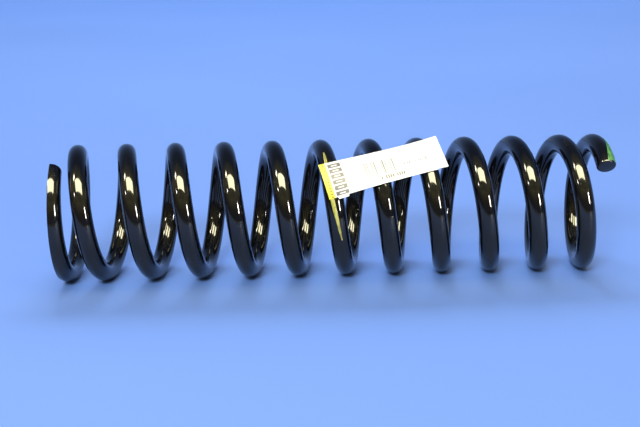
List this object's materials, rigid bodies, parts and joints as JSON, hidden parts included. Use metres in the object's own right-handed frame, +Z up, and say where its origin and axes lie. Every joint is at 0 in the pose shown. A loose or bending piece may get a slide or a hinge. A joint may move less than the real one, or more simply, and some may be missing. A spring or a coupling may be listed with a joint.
{
  "type": "coil spring",
  "caption": "Long cylindrical coil spring wound right-hand from round bar, one end closed and ground flat, the other closed and cut off, with a paper label and two paint marks.",
  "frame": {"origin": "centre of the ground seat, on the coil's axis", "axes": "+X along the coil's axis from the ground end to the cut end, +Z up with the spring lying on its side, -Y towards the side that carries the label"},
  "size_m": [0.4654, 0.1162, 0.1205],
  "materials": {
    "black_coating": "gloss",
    "label_paper": "satin",
    "yellow_paint": "satin",
    "green_paint": "satin"
  },
  "bodies": {
    "ground_end": {"ground_end_coil": "black_coating"},
    "turn_01_front_length": {"turn_01_front": "black_coating"},
    "turn_01_bottom_length": {"turn_01_bottom": "black_coating"},
    "turn_01_back_length": {"turn_01_back": "black_coating"},
    "turn_01_top_length": {"turn_01_top": "black_coating"},
    "turn_02_front_length": {"turn_02_front": "black_coating"},
    "turn_02_bottom_length": {"turn_02_bottom": "black_coating"},
    "turn_02_back_length": {"turn_02_back": "black_coating"},
    "turn_02_top_length": {"turn_02_top": "black_coating"},
    "turn_03_front_length": {"turn_03_front": "black_coating"},
    "turn_03_bottom_length": {"turn_03_bottom": "black_coating"},
    "turn_03_back_length": {"turn_03_back": "black_coating"},
    "turn_03_top_length": {"turn_03_top": "black_coating"},
    "turn_04_front_length": {"turn_04_front": "black_coating"},
    "turn_04_bottom_length": {"turn_04_bottom": "black_coating"},
    "turn_04_back_length": {"turn_04_back": "black_coating"},
    "turn_04_top_length": {"turn_04_top": "black_coating"},
    "turn_05_front_length": {"turn_05_front": "black_coating"},
    "turn_05_bottom_length": {"turn_05_bottom": "black_coating"},
    "turn_05_back_length": {"turn_05_back": "black_coating"},
    "turn_05_top_length": {"turn_05_top": "black_coating"},
    "turn_06_front_length": {"turn_06_front": "black_coating", "yellow_paint_stripe": "yellow_paint"},
    "turn_06_bottom_length": {"turn_06_bottom": "black_coating"},
    "turn_06_back_length": {"turn_06_back": "black_coating"},
    "turn_06_top_length": {"turn_06_top": "black_coating"},
    "turn_07_front_length": {"turn_07_front": "black_coating", "paper_label": "label_paper"},
    "turn_07_bottom_length": {"turn_07_bottom": "black_coating"},
    "turn_07_back_length": {"turn_07_back": "black_coating"},
    "turn_07_top_length": {"turn_07_top": "black_coating"},
    "turn_08_front_length": {"turn_08_front": "black_coating"},
    "turn_08_bottom_length": {"turn_08_bottom": "black_coating"},
    "turn_08_back_length": {"turn_08_back": "black_coating"},
    "turn_08_top_length": {"turn_08_top": "black_coating"},
    "turn_09_front_length": {"turn_09_front": "black_coating"},
    "turn_09_bottom_length": {"turn_09_bottom": "black_coating"},
    "turn_09_back_length": {"turn_09_back": "black_coating"},
    "turn_09_top_length": {"turn_09_top": "black_coating"},
    "turn_10_front_length": {"turn_10_front": "black_coating"},
    "turn_10_bottom_length": {"turn_10_bottom": "black_coating"},
    "turn_10_back_length": {"turn_10_back": "black_coating"},
    "turn_10_top_length": {"turn_10_top": "black_coating"},
    "turn_11_front_length": {"turn_11_front": "black_coating"},
    "turn_11_bottom_length": {"turn_11_bottom": "black_coating"},
    "open_end": {"open_end_coil": "black_coating", "green_paint_mark": "green_paint"}
  },
  "joints": [
    {"name": "compression", "type": "slide", "parent": "ground_end", "child": "open_end", "axis": [-1, 0, 0], "range_m": [0, 0.235], "stiffness_N_per_m": 63000},
    {"name": "turn_01_front_travel", "type": "slide", "parent": "ground_end", "child": "turn_01_front_length", "axis": [-1, 0, 0], "range_m": [0, 0.00508]},
    {"name": "turn_01_bottom_travel", "type": "slide", "parent": "ground_end", "child": "turn_01_bottom_length", "axis": [-1, 0, 0], "range_m": [0, 0.01082]},
    {"name": "turn_01_back_travel", "type": "slide", "parent": "ground_end", "child": "turn_01_back_length", "axis": [-1, 0, 0], "range_m": [0, 0.01655]},
    {"name": "turn_01_top_travel", "type": "slide", "parent": "ground_end", "child": "turn_01_top_length", "axis": [-1, 0, 0], "range_m": [0, 0.02228]},
    {"name": "turn_02_front_travel", "type": "slide", "parent": "ground_end", "child": "turn_02_front_length", "axis": [-1, 0, 0], "range_m": [0, 0.02801]},
    {"name": "turn_02_bottom_travel", "type": "slide", "parent": "ground_end", "child": "turn_02_bottom_length", "axis": [-1, 0, 0], "range_m": [0, 0.03374]},
    {"name": "turn_02_back_travel", "type": "slide", "parent": "ground_end", "child": "turn_02_back_length", "axis": [-1, 0, 0], "range_m": [0, 0.03947]},
    {"name": "turn_02_top_travel", "type": "slide", "parent": "ground_end", "child": "turn_02_top_length", "axis": [-1, 0, 0], "range_m": [0, 0.04521]},
    {"name": "turn_03_front_travel", "type": "slide", "parent": "ground_end", "child": "turn_03_front_length", "axis": [-1, 0, 0], "range_m": [0, 0.05094]},
    {"name": "turn_03_bottom_travel", "type": "slide", "parent": "ground_end", "child": "turn_03_bottom_length", "axis": [-1, 0, 0], "range_m": [0, 0.05667]},
    {"name": "turn_03_back_travel", "type": "slide", "parent": "ground_end", "child": "turn_03_back_length", "axis": [-1, 0, 0], "range_m": [0, 0.0624]},
    {"name": "turn_03_top_travel", "type": "slide", "parent": "ground_end", "child": "turn_03_top_length", "axis": [-1, 0, 0], "range_m": [0, 0.06813]},
    {"name": "turn_04_front_travel", "type": "slide", "parent": "ground_end", "child": "turn_04_front_length", "axis": [-1, 0, 0], "range_m": [0, 0.07387]},
    {"name": "turn_04_bottom_travel", "type": "slide", "parent": "ground_end", "child": "turn_04_bottom_length", "axis": [-1, 0, 0], "range_m": [0, 0.0796]},
    {"name": "turn_04_back_travel", "type": "slide", "parent": "ground_end", "child": "turn_04_back_length", "axis": [-1, 0, 0], "range_m": [0, 0.08533]},
    {"name": "turn_04_top_travel", "type": "slide", "parent": "ground_end", "child": "turn_04_top_length", "axis": [-1, 0, 0], "range_m": [0, 0.09106]},
    {"name": "turn_05_front_travel", "type": "slide", "parent": "ground_end", "child": "turn_05_front_length", "axis": [-1, 0, 0], "range_m": [0, 0.09679]},
    {"name": "turn_05_bottom_travel", "type": "slide", "parent": "ground_end", "child": "turn_05_bottom_length", "axis": [-1, 0, 0], "range_m": [0, 0.10253]},
    {"name": "turn_05_back_travel", "type": "slide", "parent": "ground_end", "child": "turn_05_back_length", "axis": [-1, 0, 0], "range_m": [0, 0.10826]},
    {"name": "turn_05_top_travel", "type": "slide", "parent": "ground_end", "child": "turn_05_top_length", "axis": [-1, 0, 0], "range_m": [0, 0.11399]},
    {"name": "turn_06_front_travel", "type": "slide", "parent": "ground_end", "child": "turn_06_front_length", "axis": [-1, 0, 0], "range_m": [0, 0.11972]},
    {"name": "turn_06_bottom_travel", "type": "slide", "parent": "ground_end", "child": "turn_06_bottom_length", "axis": [-1, 0, 0], "range_m": [0, 0.12545]},
    {"name": "turn_06_back_travel", "type": "slide", "parent": "ground_end", "child": "turn_06_back_length", "axis": [-1, 0, 0], "range_m": [0, 0.13118]},
    {"name": "turn_06_top_travel", "type": "slide", "parent": "ground_end", "child": "turn_06_top_length", "axis": [-1, 0, 0], "range_m": [0, 0.13692]},
    {"name": "turn_07_front_travel", "type": "slide", "parent": "ground_end", "child": "turn_07_front_length", "axis": [-1, 0, 0], "range_m": [0, 0.14265]},
    {"name": "turn_07_bottom_travel", "type": "slide", "parent": "ground_end", "child": "turn_07_bottom_length", "axis": [-1, 0, 0], "range_m": [0, 0.14838]},
    {"name": "turn_07_back_travel", "type": "slide", "parent": "ground_end", "child": "turn_07_back_length", "axis": [-1, 0, 0], "range_m": [0, 0.15411]},
    {"name": "turn_07_top_travel", "type": "slide", "parent": "ground_end", "child": "turn_07_top_length", "axis": [-1, 0, 0], "range_m": [0, 0.15984]},
    {"name": "turn_08_front_travel", "type": "slide", "parent": "ground_end", "child": "turn_08_front_length", "axis": [-1, 0, 0], "range_m": [0, 0.16557]},
    {"name": "turn_08_bottom_travel", "type": "slide", "parent": "ground_end", "child": "turn_08_bottom_length", "axis": [-1, 0, 0], "range_m": [0, 0.17131]},
    {"name": "turn_08_back_travel", "type": "slide", "parent": "ground_end", "child": "turn_08_back_length", "axis": [-1, 0, 0], "range_m": [0, 0.17704]},
    {"name": "turn_08_top_travel", "type": "slide", "parent": "ground_end", "child": "turn_08_top_length", "axis": [-1, 0, 0], "range_m": [0, 0.18277]},
    {"name": "turn_09_front_travel", "type": "slide", "parent": "ground_end", "child": "turn_09_front_length", "axis": [-1, 0, 0], "range_m": [0, 0.1885]},
    {"name": "turn_09_bottom_travel", "type": "slide", "parent": "ground_end", "child": "turn_09_bottom_length", "axis": [-1, 0, 0], "range_m": [0, 0.19423]},
    {"name": "turn_09_back_travel", "type": "slide", "parent": "ground_end", "child": "turn_09_back_length", "axis": [-1, 0, 0], "range_m": [0, 0.19996]},
    {"name": "turn_09_top_travel", "type": "slide", "parent": "ground_end", "child": "turn_09_top_length", "axis": [-1, 0, 0], "range_m": [0, 0.20569]},
    {"name": "turn_10_front_travel", "type": "slide", "parent": "ground_end", "child": "turn_10_front_length", "axis": [-1, 0, 0], "range_m": [0, 0.21143]},
    {"name": "turn_10_bottom_travel", "type": "slide", "parent": "ground_end", "child": "turn_10_bottom_length", "axis": [-1, 0, 0], "range_m": [0, 0.21716]},
    {"name": "turn_10_back_travel", "type": "slide", "parent": "ground_end", "child": "turn_10_back_length", "axis": [-1, 0, 0], "range_m": [0, 0.22289]},
    {"name": "turn_10_top_travel", "type": "slide", "parent": "ground_end", "child": "turn_10_top_length", "axis": [-1, 0, 0], "range_m": [0, 0.22797]},
    {"name": "turn_11_front_travel", "type": "slide", "parent": "ground_end", "child": "turn_11_front_length", "axis": [-1, 0, 0], "range_m": [0, 0.23175]},
    {"name": "turn_11_bottom_travel", "type": "slide", "parent": "ground_end", "child": "turn_11_bottom_length", "axis": [-1, 0, 0], "range_m": [0, 0.23422]}
  ],
  "couplings": [
    {"joint": "turn_01_front_travel", "follows": "compression", "ratio": 0.01951},
    {"joint": "turn_01_bottom_travel", "follows": "compression", "ratio": 0.0439},
    {"joint": "turn_01_back_travel", "follows": "compression", "ratio": 0.06829},
    {"joint": "turn_01_top_travel", "follows": "compression", "ratio": 0.09268},
    {"joint": "turn_02_front_travel", "follows": "compression", "ratio": 0.11707},
    {"joint": "turn_02_bottom_travel", "follows": "compression", "ratio": 0.14146},
    {"joint": "turn_02_back_travel", "follows": "compression", "ratio": 0.16585},
    {"joint": "turn_02_top_travel", "follows": "compression", "ratio": 0.19024},
    {"joint": "turn_03_front_travel", "follows": "compression", "ratio": 0.21463},
    {"joint": "turn_03_bottom_travel", "follows": "compression", "ratio": 0.23902},
    {"joint": "turn_03_back_travel", "follows": "compression", "ratio": 0.26341},
    {"joint": "turn_03_top_travel", "follows": "compression", "ratio": 0.2878},
    {"joint": "turn_04_front_travel", "follows": "compression", "ratio": 0.3122},
    {"joint": "turn_04_bottom_travel", "follows": "compression", "ratio": 0.33659},
    {"joint": "turn_04_back_travel", "follows": "compression", "ratio": 0.36098},
    {"joint": "turn_04_top_travel", "follows": "compression", "ratio": 0.38537},
    {"joint": "turn_05_front_travel", "follows": "compression", "ratio": 0.40976},
    {"joint": "turn_05_bottom_travel", "follows": "compression", "ratio": 0.43415},
    {"joint": "turn_05_back_travel", "follows": "compression", "ratio": 0.45854},
    {"joint": "turn_05_top_travel", "follows": "compression", "ratio": 0.48293},
    {"joint": "turn_06_front_travel", "follows": "compression", "ratio": 0.50732},
    {"joint": "turn_06_bottom_travel", "follows": "compression", "ratio": 0.53171},
    {"joint": "turn_06_back_travel", "follows": "compression", "ratio": 0.5561},
    {"joint": "turn_06_top_travel", "follows": "compression", "ratio": 0.58049},
    {"joint": "turn_07_front_travel", "follows": "compression", "ratio": 0.60488},
    {"joint": "turn_07_bottom_travel", "follows": "compression", "ratio": 0.62927},
    {"joint": "turn_07_back_travel", "follows": "compression", "ratio": 0.65366},
    {"joint": "turn_07_top_travel", "follows": "compression", "ratio": 0.67805},
    {"joint": "turn_08_front_travel", "follows": "compression", "ratio": 0.70244},
    {"joint": "turn_08_bottom_travel", "follows": "compression", "ratio": 0.72683},
    {"joint": "turn_08_back_travel", "follows": "compression", "ratio": 0.75122},
    {"joint": "turn_08_top_travel", "follows": "compression", "ratio": 0.77561},
    {"joint": "turn_09_front_travel", "follows": "compression", "ratio": 0.8},
    {"joint": "turn_09_bottom_travel", "follows": "compression", "ratio": 0.82439},
    {"joint": "turn_09_back_travel", "follows": "compression", "ratio": 0.84878},
    {"joint": "turn_09_top_travel", "follows": "compression", "ratio": 0.87317},
    {"joint": "turn_10_front_travel", "follows": "compression", "ratio": 0.89756},
    {"joint": "turn_10_bottom_travel", "follows": "compression", "ratio": 0.92195},
    {"joint": "turn_10_back_travel", "follows": "compression", "ratio": 0.94634},
    {"joint": "turn_10_top_travel", "follows": "compression", "ratio": 0.96796},
    {"joint": "turn_11_front_travel", "follows": "compression", "ratio": 0.98404},
    {"joint": "turn_11_bottom_travel", "follows": "compression", "ratio": 0.99457}
  ]
}
